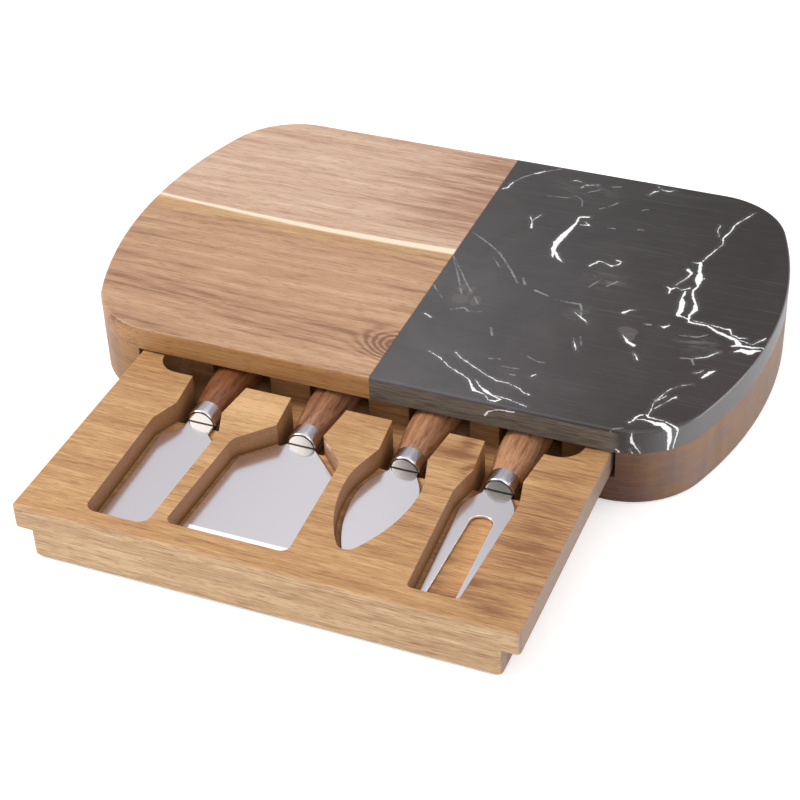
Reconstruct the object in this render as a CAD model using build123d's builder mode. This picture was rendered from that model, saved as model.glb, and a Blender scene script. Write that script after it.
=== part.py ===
import os
from math import sqrt

from build123d import *

os.makedirs("parts", exist_ok=True)

# Everything is in millimetres, +Z up, +X to the right and +Y to the back.
# The origin lies on the table, under the middle of the board's footprint with its drawer pulled out.

# Knife handles and ferrules, alike on all four knives. Places along a knife run from the ferrule's face.
handle_length = 100.4
handle_neck_radius = 8.3
handle_belly_width = 24.0
handle_belly_height = 20.0
handle_butt_width = 19.0
handle_butt_height = 16.2
handle_end_radius = 7.0
swell_place_share = 0.17
swell_share = 0.7
belly_place_share = 0.45
taper_place_share = 0.78
taper_share = 0.45
ferrule_radius = 8.4
ferrule_length = 10.0
ferrule_wall = 0.6
ferrule_face_thickness = 1.1
ferrule_shoulder_radius = 1.3
ferrule_crown = 0.25
tenon_clearance = 0.1

# Blades are flat plates, each with a neck that fills the ferrule's slot and a tang in the handle.
blade_thickness = 1.4
neck_clearance = 0.1
tang_width = 6.0
tang_length = 48.5
tang_clearance = 0.15

# Spreader: narrow, slightly tapered, with a square front
spreader_length = 90.5
spreader_heel_width = 32.4
spreader_waist_width = 29.8
spreader_front_width = 28.6
spreader_shoulder_start = 7.4
spreader_heel_radius = 3.0
spreader_corner_radius = 3.0
spreader_waist_place_share = 0.44

# Plane: wide, flaring to a ground chisel edge
plane_length = 85.8
plane_heel_width = 54.4
plane_front_width = 60.0
plane_shoulder_start = 0.3
plane_shoulder_length = 19.0
plane_heel_radius = 6.0
plane_corner_radius = 1.5
plane_bevel_length = 12.1
plane_edge_thickness = 0.4

# Almond: round flanks that meet in a blunt point
almond_length = 76.5
almond_belly_width = 32.6
almond_belly_place = 27.0
almond_shoulder_start = 2.5
almond_tip_radius = 3.0

# Fork: two long tines that taper towards their tips
fork_length = 88.6
fork_shoulder_width = 28.0
fork_front_width = 20.6
fork_shoulder_start = 3.0
fork_shoulder_place = 20.0
fork_slot_start = 20.3
fork_slot_width = 11.8
fork_slot_front_width = 14.8
fork_slot_radius = 5.5
fork_tip_radius = 1.1

# Drawer: one thick board with flanges, blade pockets, neck channels and a finger trough
pocket_margin = 3.0
blade_rest_gap = 0.3
handle_top_cover = 1.3
handle_floor_gap = 1.9
drawer_floor_thickness = 7.6
drawer_front_wall = 10.1
drawer_rear_wall = 4.4
drawer_left_margin = 33.65
drawer_right_margin = 30.65
pocket_walls = (6.0, 5.4, 14.8)
handle_end_gap = 3.6
handle_pocket_width = 34.6
handle_pocket_end_radius = 12.0
channel_front_width = 26.4
channel_front_place = 1.2
trough_place = 23.9
trough_width = 25.4
trough_end_wall = 13.75
flange_thickness = 14.7
flange_overhang = 8.8
flange_corner_radius = 2.5
flange_foot_radius = 2.0
drawer_corner_radius = 3.0
drawer_foot_radius = 2.5
drawer_edge_radius = 1.2

# Board: base blocks and rail round the drawer's bay, under a top of wood and marble
flange_side_gap = 2.2
ledge_side_gap = 1.2
ledge_gap = 0.3
drawer_bottom_gap = 0.5
drawer_top_gap = 1.3
drawer_rear_gap = 2.0
side_block_width = 54.05
rear_rail_thickness = 24.0
end_arc_radius = 248.0
corner_radius = 46.0
panel_thickness = 13.8
top_edge_radius = 1.6
base_edge_radius = 1.5
seam_offset = 1.5
seam_groove_width = 0.5
front_stave_width = 127.0
trough_shown = 11.5
overrun = 5.0

# Sizes that follow: along a knife, forwards is positive
ferrule_bore = ferrule_radius - ferrule_wall
tenon_radius = ferrule_bore - tenon_clearance
nose_place = -(ferrule_crown + ferrule_face_thickness)
slot_half_width = ferrule_bore - neck_clearance / 2
neck_half_width = slot_half_width - neck_clearance
blade_widths = (spreader_heel_width, plane_front_width, almond_belly_width, fork_shoulder_width)
longest_blade = max(spreader_length, plane_length, almond_length, fork_length)

# Sizes that follow: drawer
pocket_widths = [width + 2 * pocket_margin for width in blade_widths]
drawer_width = drawer_left_margin + sum(pocket_widths) + sum(pocket_walls) + drawer_right_margin
ferrule_line = drawer_front_wall + pocket_margin + longest_blade
drawer_depth = ferrule_line + handle_length + handle_end_gap + drawer_rear_wall
knife_axis_depth = handle_top_cover + handle_belly_height / 2
blade_pocket_depth = knife_axis_depth + blade_thickness / 2 + blade_rest_gap
trough_depth = handle_top_cover + handle_belly_height + handle_floor_gap
drawer_thickness = trough_depth + drawer_floor_thickness
drawer_top_z = drawer_bottom_gap + drawer_thickness
flange_bottom_z = drawer_top_z - flange_thickness
knife_z = drawer_top_z - knife_axis_depth

# Sizes that follow: board and the places along Y
base_height = drawer_top_z + drawer_top_gap
board_height = base_height + panel_thickness
bay_half_width = drawer_width / 2 + flange_side_gap
ledge_half_span = drawer_width / 2 - flange_overhang + ledge_side_gap
ledge_height = flange_bottom_z - ledge_gap
board_length = 2 * (bay_half_width + side_block_width)
board_depth = drawer_depth + drawer_rear_gap + rear_rail_thickness
drawer_open = ferrule_line + trough_place + trough_shown
front_y = (drawer_open - board_depth) / 2
rear_y = front_y + board_depth
board_mid_y = (front_y + rear_y) / 2
drawer_front_y = front_y - drawer_open
drawer_rear_y = drawer_front_y + drawer_depth
drawer_mid_y = (drawer_front_y + drawer_rear_y) / 2
ferrule_y = drawer_front_y + ferrule_line
rail_front_y = rear_y - rear_rail_thickness


def save(piece, name):
    """Label one finished piece and write it under its own name."""
    piece.part.label = name
    export_step(piece.part, f"parts/{name}.step")


def both_sides(points):
    """Right-hand points of an outline, followed by their mirror images in reverse."""
    return points + [(-x, y) for x, y in reversed(points)]


# Board plan: straight long sides, bowed ends and wide round corners
with BuildSketch() as board_plan:
    with Locations((0, board_mid_y)):
        Rectangle(2 * end_arc_radius, board_depth)
    for side in (-1, 1):
        with Locations((side * (end_arc_radius - board_length / 2), board_mid_y)):
            Circle(end_arc_radius, mode=Mode.INTERSECT)
    front_corners = board_plan.vertices().group_by(Axis.Y)[0]
    rear_corners = board_plan.vertices().group_by(Axis.Y)[-1]
    fillet(front_corners + rear_corners, corner_radius)

# Blank of the top, with its rounded rim and the fine groove along the seam of wood and marble
with BuildPart() as top_blank:
    with BuildSketch(Plane.XY.offset(base_height)):
        add(board_plan.sketch)
    extrude(amount=panel_thickness)
    fillet(top_blank.faces().sort_by(Axis.Z)[-1].edges(), top_edge_radius)
    with BuildSketch(Plane.XZ.offset(-rear_y)):
        with Locations((seam_offset, board_height)):
            Rectangle(seam_groove_width, seam_groove_width, rotation=45)
    extrude(amount=board_depth, mode=Mode.SUBTRACT)

# Marble slab: the right-hand half of the top
with BuildPart() as marble_slab:
    add(top_blank.part)
    with BuildSketch(Plane.XY.offset(base_height)):
        with Locations((seam_offset, board_mid_y)):
            Rectangle(board_length, board_depth + overrun, align=(Align.MIN, Align.CENTER))
    extrude(amount=panel_thickness, mode=Mode.INTERSECT)
save(marble_slab, "marble_slab")

# Wooden half of the top: two staves glued edge to edge, with the joint along X
stave_joint_y = front_y + front_stave_width
staves = (
    ("top_front_stave", front_y - overrun, stave_joint_y),
    ("top_rear_stave", stave_joint_y, rear_y + overrun),
)
for stave_name, stave_front_y, stave_rear_y in staves:
    with BuildPart() as stave:
        add(top_blank.part)
        with BuildSketch(Plane.XY.offset(base_height)):
            with Locations((seam_offset, stave_front_y)):
                Rectangle(board_length, stave_rear_y - stave_front_y, align=(Align.MAX, Align.MIN))
        extrude(amount=panel_thickness, mode=Mode.INTERSECT)
    save(stave, stave_name)

# Blank of the base, with its lower rim eased
with BuildPart() as base_blank:
    with BuildSketch():
        add(board_plan.sketch)
    extrude(amount=base_height)
    fillet(base_blank.faces().sort_by(Axis.Z)[0].edges(), base_edge_radius)

# Side blocks: solid wood outside the bay, each with a ledge that carries the drawer's flange
for side, side_name in ((-1, "left"), (1, "right")):
    outside_x = board_length / 2 + overrun
    block_section = [
        (side * bay_half_width, base_height),
        (side * outside_x, base_height),
        (side * outside_x, 0),
        (side * ledge_half_span, 0),
        (side * ledge_half_span, ledge_height),
        (side * bay_half_width, ledge_height),
    ]
    with BuildPart() as side_block:
        add(base_blank.part)
        with BuildSketch(Plane.XZ.offset(-rear_y)):
            with BuildLine():
                Polyline(*block_section, close=True)
            make_face()
        extrude(amount=board_depth, mode=Mode.INTERSECT)
        with BuildSketch():
            with Locations((0, rail_front_y)):
                Rectangle(2 * bay_half_width, board_depth, align=(Align.CENTER, Align.MIN))
        extrude(amount=base_height, mode=Mode.SUBTRACT)
    save(side_block, f"{side_name}_side_block")

# Rear rail: joins the side blocks behind the drawer
with BuildPart() as rear_rail:
    add(base_blank.part)
    with BuildSketch():
        with Locations((0, rail_front_y)):
            Rectangle(2 * bay_half_width, board_depth, align=(Align.CENTER, Align.MIN))
    extrude(amount=base_height, mode=Mode.INTERSECT)
save(rear_rail, "rear_rail")

# Spreader outline, from the neck's foot inside the ferrule to the square front
spreader_heel_place = spreader_shoulder_start + spreader_heel_width / 2 - neck_half_width
spreader_side = [
    (neck_half_width, nose_place),
    (neck_half_width, spreader_shoulder_start),
    (spreader_heel_width / 2, spreader_heel_place),
    (spreader_waist_width / 2, spreader_waist_place_share * spreader_length),
    (spreader_front_width / 2, spreader_length),
]
with BuildSketch() as spreader_outline:
    with BuildLine():
        Polyline(*both_sides(spreader_side), close=True)
    make_face()
    fillet(spreader_outline.vertices().group_by(Axis.Y)[-1], spreader_corner_radius)
    fillet(spreader_outline.vertices().group_by(Axis.Y)[2], spreader_heel_radius)

# Plane outline, with sloping shoulders
plane_side = [
    (neck_half_width, nose_place),
    (neck_half_width, plane_shoulder_start),
    (plane_heel_width / 2, plane_shoulder_start + plane_shoulder_length),
    (plane_front_width / 2, plane_length),
]
with BuildSketch() as plane_outline:
    with BuildLine():
        Polyline(*both_sides(plane_side), close=True)
    make_face()
    fillet(plane_outline.vertices().group_by(Axis.Y)[-1], plane_corner_radius)
    fillet(plane_outline.vertices().group_by(Axis.Y)[2], plane_heel_radius)

# Almond outline: each flank is a shoulder arc and a long arc that meet at the belly
belly_half_width = almond_belly_width / 2
shoulder_rise = belly_half_width - neck_half_width
shoulder_reach = almond_belly_place - almond_shoulder_start
shoulder_radius = (shoulder_rise**2 + shoulder_reach**2) / (2 * shoulder_rise)
flank_reach = almond_length - almond_belly_place
flank_radius = (belly_half_width**2 + flank_reach**2) / (2 * belly_half_width)


def almond_plan(margin):
    """Almond outline grown by a margin, about the same arc centres."""
    neck_half = neck_half_width + margin
    belly_half = belly_half_width + margin
    shoulder_arc = shoulder_radius + margin
    flank_arc = flank_radius + margin
    neck_place = almond_belly_place - sqrt(shoulder_arc**2 - (shoulder_arc - belly_half + neck_half) ** 2)
    point_place = almond_belly_place + sqrt(flank_arc**2 - (flank_arc - belly_half) ** 2)
    with BuildSketch() as plan:
        with BuildLine():
            Line((-neck_half, nose_place), (neck_half, nose_place))
            for side in (-1, 1):
                belly = (side * belly_half, almond_belly_place)
                neck = (side * neck_half, neck_place)
                Line((side * neck_half, nose_place), neck)
                TangentArc(belly, neck, tangent=(0, -1))
                TangentArc(belly, (0, point_place), tangent=(0, 1))
        make_face()
        fillet(plan.vertices().group_by(Axis.Y)[-1], almond_tip_radius + margin)
    return plan


almond_outline = almond_plan(0)

# Fork outline, first without and then with the slot between the tines
fork_slot_side = [
    (fork_slot_width / 2, fork_slot_start),
    (fork_slot_front_width / 2, fork_length),
]
with BuildSketch() as fork_outline:
    with BuildLine():
        Line((-neck_half_width, nose_place), (neck_half_width, nose_place))
        for side in (-1, 1):
            corner = (side * fork_shoulder_width / 2, fork_shoulder_place)
            neck = (side * neck_half_width, fork_shoulder_start)
            Line((side * neck_half_width, nose_place), neck)
            TangentArc(corner, neck, tangent=(0, -1))
            Line(corner, (side * fork_front_width / 2, fork_length))
        Line((-fork_front_width / 2, fork_length), (fork_front_width / 2, fork_length))
    make_face()
with BuildSketch() as fork_slot:
    with BuildLine():
        Polyline(*both_sides(fork_slot_side), close=True)
    make_face()
    fillet(fork_slot.vertices().group_by(Axis.Y)[0], fork_slot_radius)
with BuildSketch() as fork_tines:
    add(fork_outline.sketch)
    add(fork_slot.sketch, mode=Mode.SUBTRACT)
    fillet(fork_tines.vertices().group_by(Axis.Y)[-1], fork_tip_radius)


def with_throat(pocket):
    """Pocket outline drawn tight, like a string, round the blade's outline and the channel's front."""
    with BuildSketch() as tight:
        with BuildLine():
            add(pocket.sketch.edges())
            Line((-channel_front_width / 2, 0), (channel_front_width / 2, 0))
        make_hull()
    return tight


def pocket_plan(outline):
    """Pocket outline that clears a blade by the margin all round."""
    with BuildSketch() as pocket:
        add(outline.sketch)
        offset(amount=pocket_margin)
    return with_throat(pocket)


# Places of the four knives across the drawer
knives = []
pocket_left_x = -drawer_width / 2 + drawer_left_margin
knife_outlines = (
    ("spreader", spreader_outline, pocket_plan(spreader_outline)),
    ("plane", plane_outline, pocket_plan(plane_outline)),
    ("almond", almond_outline, with_throat(almond_plan(pocket_margin))),
    ("fork", fork_tines, pocket_plan(fork_outline)),
)
for (kind, blade_shape, pocket_shape), pocket_width, wall in zip(
    knife_outlines, pocket_widths, (*pocket_walls, drawer_right_margin)
):
    knives.append((kind, blade_shape, pocket_shape, pocket_left_x + pocket_width / 2))
    pocket_left_x += pocket_width + wall


def level_plane(x, z):
    """Level plane at a knife's ferrule face, with its Y pointing to the blade's tip."""
    return Plane(origin=(x, ferrule_y, z), x_dir=(-1, 0, 0), z_dir=(0, 0, 1))


def upright_plane(x):
    """Upright plane through a knife's axis, with its X pointing to the blade's tip."""
    return Plane(origin=(x, ferrule_y, knife_z), x_dir=(0, -1, 0), z_dir=(-1, 0, 0))


# Drawer: flanged board, then the pockets that are cut down into it
trough_mid_place = trough_place + trough_width / 2
handle_pocket_side = [
    (channel_front_width / 2, channel_front_place),
    (handle_pocket_width / 2, -trough_mid_place),
    (handle_pocket_width / 2, -(handle_length + handle_end_gap)),
]
with BuildSketch() as handle_pocket:
    with BuildLine():
        Polyline(*both_sides(handle_pocket_side), close=True)
    make_face()
    fillet(handle_pocket.vertices().group_by(Axis.Y)[0], handle_pocket_end_radius)
with BuildPart() as drawer_core:
    with BuildSketch(Plane.XY.offset(drawer_bottom_gap)):
        with Locations((0, drawer_mid_y)):
            RectangleRounded(drawer_width - 2 * flange_overhang, drawer_depth, drawer_corner_radius)
    extrude(amount=drawer_thickness - drawer_edge_radius)
    fillet(drawer_core.faces().sort_by(Axis.Z)[0].edges(), drawer_foot_radius)
with BuildPart() as drawer:
    with BuildSketch(Plane.XY.offset(flange_bottom_z)):
        with Locations((0, drawer_mid_y)):
            RectangleRounded(drawer_width, drawer_depth, flange_corner_radius)
    extrude(amount=flange_thickness)
    fillet(drawer.faces().sort_by(Axis.Z)[-1].edges(), drawer_edge_radius)
    fillet(drawer.faces().sort_by(Axis.Z)[0].edges(), flange_foot_radius)
    add(drawer_core.part)
    for kind, blade_shape, pocket_shape, knife_x in knives:
        with BuildSketch(level_plane(knife_x, drawer_top_z)):
            add(pocket_shape.sketch)
        extrude(amount=-blade_pocket_depth, mode=Mode.SUBTRACT)
    with BuildSketch(Plane.XY.offset(drawer_top_z)):
        with Locations((0, ferrule_y + trough_mid_place)):
            SlotOverall(drawer_width - 2 * trough_end_wall, trough_width)
        with Locations(*[Location((knife[-1], ferrule_y), 180) for knife in knives]):
            add(handle_pocket.sketch)
    extrude(amount=-trough_depth, mode=Mode.SUBTRACT)
save(drawer, "drawer")

# Grip sections, as place from the ferrule's face, width and height: round at the neck, oval behind it
grip_length = handle_length - ferrule_length
neck_width = 2 * handle_neck_radius
grip_sections = [
    (ferrule_length, neck_width, neck_width),
    (
        ferrule_length + swell_place_share * grip_length,
        neck_width + swell_share * (handle_belly_width - neck_width),
        neck_width + swell_share * (handle_belly_height - neck_width),
    ),
    (ferrule_length + belly_place_share * grip_length, handle_belly_width, handle_belly_height),
    (
        ferrule_length + taper_place_share * grip_length,
        handle_belly_width + taper_share * (handle_butt_width - handle_belly_width),
        handle_belly_height + taper_share * (handle_butt_height - handle_belly_height),
    ),
    (handle_length, handle_butt_width, handle_butt_height),
]

# Ferrule section: thin cap with a rounded shoulder and a slightly crowned face
face_edge = (-ferrule_crown, ferrule_radius)
ferrule_section = [
    (0, 0),
    (nose_place, 0),
    (nose_place, ferrule_bore),
    (-ferrule_length, ferrule_bore),
    (-ferrule_length, ferrule_radius),
    face_edge,
]

for kind, blade_shape, pocket_shape, knife_x in knives:
    knife_axis = Axis((knife_x, ferrule_y, knife_z), (0, -1, 0))

    # Blade with its neck and tang
    with BuildPart() as blade:
        with BuildSketch(level_plane(knife_x, knife_z)):
            add(blade_shape.sketch)
            with Locations((0, nose_place)):
                Rectangle(tang_width, tang_length, align=(Align.CENTER, Align.MAX))
        extrude(amount=blade_thickness / 2, both=True)
        if kind == "plane":
            bevel_start = plane_length - plane_bevel_length
            edge_top = plane_edge_thickness - blade_thickness / 2
            with BuildSketch(upright_plane(knife_x)):
                with BuildLine():
                    Polyline(
                        (bevel_start, blade_thickness / 2),
                        (plane_length, blade_thickness / 2),
                        (plane_length, edge_top),
                        close=True,
                    )
                make_face()
            extrude(amount=plane_front_width, both=True, mode=Mode.SUBTRACT)
    save(blade, f"{kind}_blade")

    # Ferrule, slotted from rim to rim for the blade's neck
    with BuildPart() as ferrule:
        with BuildSketch(upright_plane(knife_x)) as section:
            with BuildLine():
                Polyline(*ferrule_section)
                TangentArc((0, 0), face_edge, tangent=(0, 1))
            make_face()
            fillet(section.vertices().sort_by_distance(face_edge)[0], ferrule_shoulder_radius)
        revolve(axis=knife_axis)
        with BuildSketch(level_plane(knife_x, knife_z)):
            with Locations((0, nose_place)):
                Rectangle(2 * slot_half_width, ferrule_length, align=(Align.CENTER, Align.MIN))
        extrude(amount=blade_thickness / 2 + neck_clearance, both=True, mode=Mode.SUBTRACT)
    save(ferrule, f"{kind}_ferrule")

    # Handle: grip lofted through its sections, with a domed butt, a round tenon and a slot for the tang
    with BuildPart() as handle:
        for place, width, height in grip_sections:
            with BuildSketch(Plane(origin=(knife_x, ferrule_y + place, knife_z), x_dir=(1, 0, 0), z_dir=(0, 1, 0))):
                Ellipse(width / 2, height / 2)
        loft()
        fillet(handle.edges().sort_by(Axis.Y)[-1], handle_end_radius)
        with BuildSketch(Plane(origin=(knife_x, ferrule_y - nose_place, knife_z), x_dir=(1, 0, 0), z_dir=(0, 1, 0))):
            Circle(tenon_radius)
        extrude(amount=ferrule_length + nose_place)
        with BuildSketch(level_plane(knife_x, knife_z)):
            with Locations((0, nose_place)):
                Rectangle(
                    tang_width + 2 * tang_clearance,
                    tang_length + tang_clearance,
                    align=(Align.CENTER, Align.MAX),
                )
        extrude(amount=blade_thickness / 2 + tang_clearance, both=True, mode=Mode.SUBTRACT)
    save(handle, f"{kind}_handle")
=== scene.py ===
import math

import bmesh
import bpy
import numpy as np
from mathutils import Matrix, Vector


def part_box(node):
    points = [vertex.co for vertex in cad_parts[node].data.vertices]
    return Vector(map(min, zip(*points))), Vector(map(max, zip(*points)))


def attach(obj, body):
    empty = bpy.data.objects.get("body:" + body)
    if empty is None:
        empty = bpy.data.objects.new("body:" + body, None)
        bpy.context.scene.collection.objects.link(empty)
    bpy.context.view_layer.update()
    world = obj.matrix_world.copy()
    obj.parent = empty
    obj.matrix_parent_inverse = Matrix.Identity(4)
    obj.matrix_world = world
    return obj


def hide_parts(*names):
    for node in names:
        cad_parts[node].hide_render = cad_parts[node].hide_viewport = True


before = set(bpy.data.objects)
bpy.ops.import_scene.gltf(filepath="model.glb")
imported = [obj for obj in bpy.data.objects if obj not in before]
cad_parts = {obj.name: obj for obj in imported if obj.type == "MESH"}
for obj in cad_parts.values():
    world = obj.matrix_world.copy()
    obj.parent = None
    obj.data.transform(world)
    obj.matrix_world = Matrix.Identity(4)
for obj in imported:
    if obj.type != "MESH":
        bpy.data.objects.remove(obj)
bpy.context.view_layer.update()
MM = 0.001

# Viewpoint.
# The board is seen from its front right and from well above, through a long lens, with its
# near long side falling a little to the right.
photo_width = 800
focal_pixels = 1963.9
view_azimuth = math.radians(23.34)
view_elevation = math.radians(37.1)
view_roll = math.radians(-2.26)
camera_place = np.array((342.8, -800.1, 654.5)) * MM
sensor_width = 36.0


def add_object(name, data):
    """Makes an object of its data and links it to the scene."""
    made = bpy.data.objects.new(name, data)
    bpy.context.scene.collection.objects.link(made)
    return made


def looking(back, place, roll=0.0):
    """Placement of a camera or lamp with its back to a direction, level but for its roll."""
    back = np.array(back) / np.linalg.norm(back)
    level_right = np.cross((0.0, 0.0, 1.0), back)
    level_right /= np.linalg.norm(level_right)
    level_up = np.cross(back, level_right)
    right = math.cos(roll) * level_right + math.sin(roll) * level_up
    up = math.cos(roll) * level_up - math.sin(roll) * level_right
    return Matrix(np.vstack([np.column_stack([right, up, back, place]), (0, 0, 0, 1)]).tolist())


camera_data = bpy.data.cameras.new("camera")
camera_data.sensor_width = sensor_width
camera_data.lens = focal_pixels / photo_width * sensor_width
camera = add_object("camera", camera_data)
backwards = (
    math.sin(view_azimuth) * math.cos(view_elevation),
    -math.cos(view_azimuth) * math.cos(view_elevation),
    math.sin(view_elevation),
)
camera.matrix_world = looking(backwards, camera_place, view_roll)
bpy.context.scene.camera = camera

# Base blocks and rear rail.
# Solid acacia blocks with bowed outer sides stand left and right of the drawer's bay, each with a
# ledge for the drawer's flange, and a straight rail is glued between them at the back.
ledge_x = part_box("right_side_block")[0][0]
rail_low, rail_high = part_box("rear_rail")
slab_low, slab_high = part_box("marble_slab")
drawer_low, drawer_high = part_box("drawer")
end_arc_radius = 248 * MM
corner_radius = 46 * MM
base_edge_radius = 1.5 * MM
ledge_height = 16.3 * MM
support_width = 1.5 * MM
merge_distance = 0.001 * MM
mid_y = (slab_high[1] + slab_low[1]) / 2
bay_half_width = rail_high[0]
base_height = rail_high[2]
end_arc_x = slab_high[0] - end_arc_radius
corner_y = slab_high[1] - mid_y - corner_radius
corner_x = end_arc_x + math.sqrt((end_arc_radius - corner_radius) ** 2 - corner_y**2)
blend_angle = math.atan2(corner_y, corner_x - end_arc_x)


def rim(facing):
    """Board outline by the direction its side faces: where that is within the blend angle of the
    X axis a point lies on the wide end arc, and elsewhere on a corner arc."""
    normal = np.stack([np.cos(facing), np.sin(facing)], axis=-1)
    on_corner = np.abs(normal[:, 1]) > math.sin(blend_angle)
    centre_x = np.sign(normal[:, 0]) * np.where(on_corner, corner_x, end_arc_x)
    centre_y = mid_y + np.sign(normal[:, 1]) * np.where(on_corner, corner_y, 0.0)
    radius = np.where(on_corner, corner_radius, end_arc_radius)
    return np.stack([centre_x, centre_y], axis=-1) + radius[:, None] * normal, normal


def eased_edge(radius, steps):
    """Quarter round by its angle: how far inside the wall it lies, and how far from the face."""
    turn = np.linspace(0, math.pi / 2, steps)
    return radius * (1 - np.cos(turn)), radius * (1 - np.sin(turn))


def at_height(level, height):
    """Level outline points, raised to a height."""
    return np.column_stack([level, np.full(len(level), height)])


def stack(rings):
    """Points and faces of a closed body whose level outlines are the rings, lowest first."""
    rings = np.array(rings)
    levels, around = rings.shape[:2]
    index = np.arange(levels * around).reshape(levels, around)
    ahead = np.roll(index, -1, axis=1)
    walls = np.stack([index[:-1], ahead[:-1], ahead[1:], index[1:]], axis=-1).reshape(-1, 4)
    return rings.reshape(-1, 3), walls.tolist() + [index[0, ::-1].tolist(), index[-1].tolist()]


def mesh_of(name, points, faces):
    """A mesh of points and faces."""
    mesh = bpy.data.meshes.new(name)
    mesh.from_pydata(np.asarray(points).tolist(), [], faces)
    return mesh


def piece(name, shape, finish, body, node, crease=40):
    """Makes one object of points and faces, or of a copy of a CAD mesh, whose flat faces it joins.
    Doubles are merged, faces turned outwards, and soft shading breaks at sharp creases. It rides
    on its body and stands for its CAD node."""
    from_cad = isinstance(shape, bpy.types.Mesh)
    mesh = shape.copy() if from_cad else mesh_of(name, *shape)
    work = bmesh.new()
    work.from_mesh(mesh)
    bmesh.ops.remove_doubles(work, verts=work.verts, dist=merge_distance)
    if from_cad:
        bmesh.ops.dissolve_limit(work, angle_limit=math.radians(0.5), verts=work.verts,
                                 edges=work.edges)
    else:
        bmesh.ops.dissolve_degenerate(work, edges=work.edges, dist=merge_distance)
    bmesh.ops.recalc_face_normals(work, faces=work.faces)
    work.to_mesh(mesh)
    work.free()
    mesh.shade_smooth()
    mesh.set_sharp_from_angle(angle=math.radians(crease))
    mesh.materials.clear()
    mesh.materials.append(finish)
    made = add_object(name, mesh)
    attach(made, body)
    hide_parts(node)
    return made


class Value:
    """What a node gives out. Arithmetic on it adds Math nodes, or Vector Math nodes where it is a
    vector or a colour, and there the other side is a vector too."""

    def __init__(self, graph, socket):
        self.graph, self.socket = graph, socket

    def math(self, operation, *others, out=0):
        kind = "Math" if self.socket.type == "VALUE" else "VectorMath"
        return self.graph.add(kind, dict(enumerate((self, *others))), out, operation=operation)

    def __add__(self, other):
        return self.math("ADD", other)

    def __sub__(self, other):
        return self.math("SUBTRACT", other)

    def __rsub__(self, other):
        return self.graph.add("Math", {0: other, 1: self}, operation="SUBTRACT")

    def __mul__(self, other):
        return self.math("MULTIPLY", other)

    def __neg__(self):
        return self.math("MULTIPLY", -1.0)

    def __abs__(self):
        return self.math("ABSOLUTE")

    def split(self):
        """The three parts of a vector."""
        return self.graph.add("SeparateXYZ", {0: self}, out=None)

    def ramp(self, low, high, start=0.0, end=1.0):
        """Smooth step from the start value below low to the end value above high."""
        inputs = {"Value": self, "From Min": low, "From Max": high, "To Min": start, "To Max": end}
        return self.graph.add("MapRange", inputs, interpolation_type="SMOOTHSTEP")


class Graph:
    """A node tree, built node by node. Colours are given as red, green and blue."""

    def __init__(self, tree):
        self.tree = tree

    def set(self, node, inputs):
        for key, value in inputs.items():
            socket = node.inputs[key]
            if isinstance(value, Value):
                self.tree.links.new(value.socket, socket)
            else:
                socket.default_value = (*value, 1.0) if socket.type == "RGBA" else value

    def add(self, kind, inputs={}, out=0, **settings):
        """Adds a node and gives one of its outputs, or all of them where out is None."""
        node = self.tree.nodes.new("ShaderNode" + kind)
        for key, value in settings.items():
            setattr(node, key, value)
        self.set(node, inputs)
        if out is None:
            return [Value(self, socket) for socket in node.outputs]
        return Value(self, node.outputs[out])

    def noise(self, place, scale, detail, roughness, distortion=0.0, shift=(0, 0, 0), out="Fac"):
        """Fractal noise. A scale with a number for each axis draws it out, before the shift."""
        if isinstance(scale, tuple):
            place = self.add("Mapping", {"Vector": place, "Scale": scale, "Location": shift})
            scale = 1.0
        inputs = {"Vector": place, "Scale": scale, "Detail": detail, "Roughness": roughness}
        return self.add("TexNoise", inputs | {"Distortion": distortion}, out)

    def mix(self, amount, a, b, blend="MIX"):
        inputs = {0: amount, 6: a, 7: b}
        return self.add("Mix", inputs, out=2, data_type="RGBA", blend_type=blend)

    def between(self, amount, first, second):
        return self.add("Mix", {0: amount, 2: first, 3: second})

    def bump(self, strength, distance, height):
        return self.add("Bump", {"Strength": strength, "Distance": distance, "Height": height})


class Finish(Graph):
    """A material's node tree, on the piece's own coordinates."""

    def __init__(self, name, **shader):
        self.material = bpy.data.materials.new(name)
        self.material.use_nodes = True
        super().__init__(self.material.node_tree)
        self.place = self.add("TexCoord", out="Object")
        self.shade(**shader)

    def shade(self, **inputs):
        """Sets or wires inputs of the shader, whose names have spaces for the underscores."""
        shader = self.tree.nodes["Principled BSDF"]
        self.set(shader, {key.replace("_", " "): value for key, value in inputs.items()})

    def facing(self):
        """The three parts of the direction that the surface faces."""
        return self.add("NewGeometry", out="Normal").split()


def spot(x, y, right, back, width, depth):
    """Soft round patch: falls off as exp of minus the squared distance over the size."""
    across = (x - right * MM) * (1 / (width * MM))
    along = (y - back * MM) * (1 / (depth * MM))
    return (-(across * across + along * along)).math("EXPONENT")


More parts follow.
